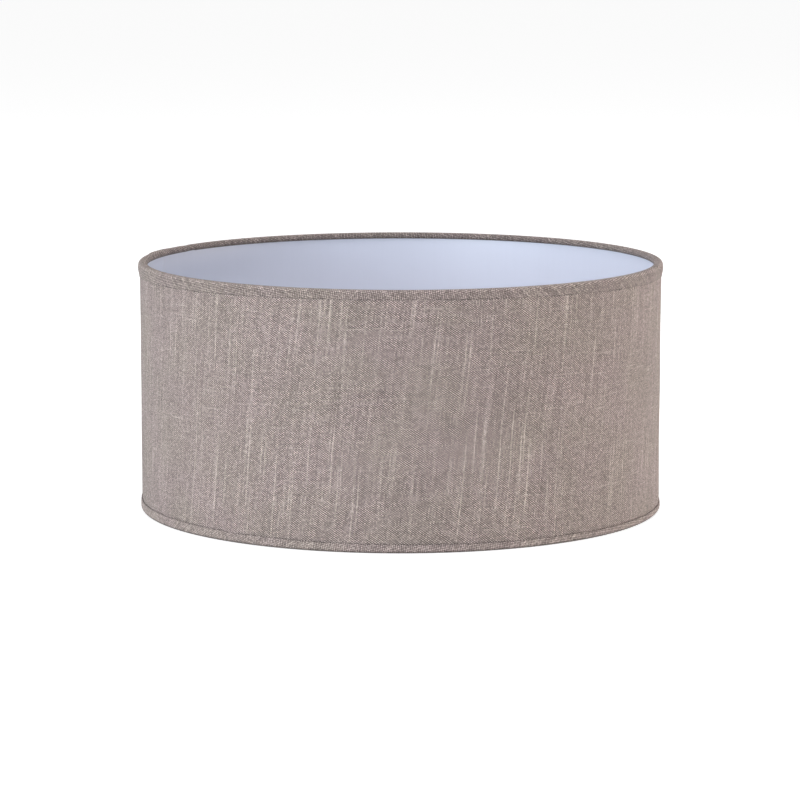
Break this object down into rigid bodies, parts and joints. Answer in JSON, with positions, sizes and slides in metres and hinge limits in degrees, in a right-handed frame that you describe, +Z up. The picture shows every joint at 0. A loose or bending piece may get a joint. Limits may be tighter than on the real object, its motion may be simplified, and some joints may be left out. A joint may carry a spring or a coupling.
{
  "type": "lamp shade",
  "caption": "Shallow drum lamp shade: slubbed linen-look cover on a white lining, bias-bound rims on wire rings, and a washer fitter raised on spokes from the lower ring.",
  "frame": {"origin": "centre of the bottom rim, on the surface that the shade stands on", "axes": "+Z up along the drum's axis; -Y faces the viewer; the lap seam is at the left rear, 160 degrees round from +X towards +Y"},
  "size_m": [0.4, 0.4, 0.19],
  "materials": {
    "linen_cover": "slubbed plain weave, greige, matt",
    "bias_trim": "the same cloth cut on the bias, matt",
    "lining_plastic": "smooth white film, satin",
    "adhesive_tape": "clear, satin",
    "coated_wire": "white powder coat, satin",
    "reducer_plastic": "moulded, satin"
  },
  "bodies": {
    "root": {"fabric_cover": "linen_cover", "lining_panel": "lining_plastic", "seam_tape": "adhesive_tape", "top_ring_tape": "adhesive_tape", "bottom_ring_tape": "adhesive_tape", "top_trim": "bias_trim", "bottom_trim": "bias_trim", "top_ring": "coated_wire", "bottom_ring": "coated_wire", "spoke_1": "coated_wire", "spoke_2": "coated_wire", "spoke_3": "coated_wire", "fitter_ring": "coated_wire", "reducer_ring": "reducer_plastic"}
  },
  "joints": []
}
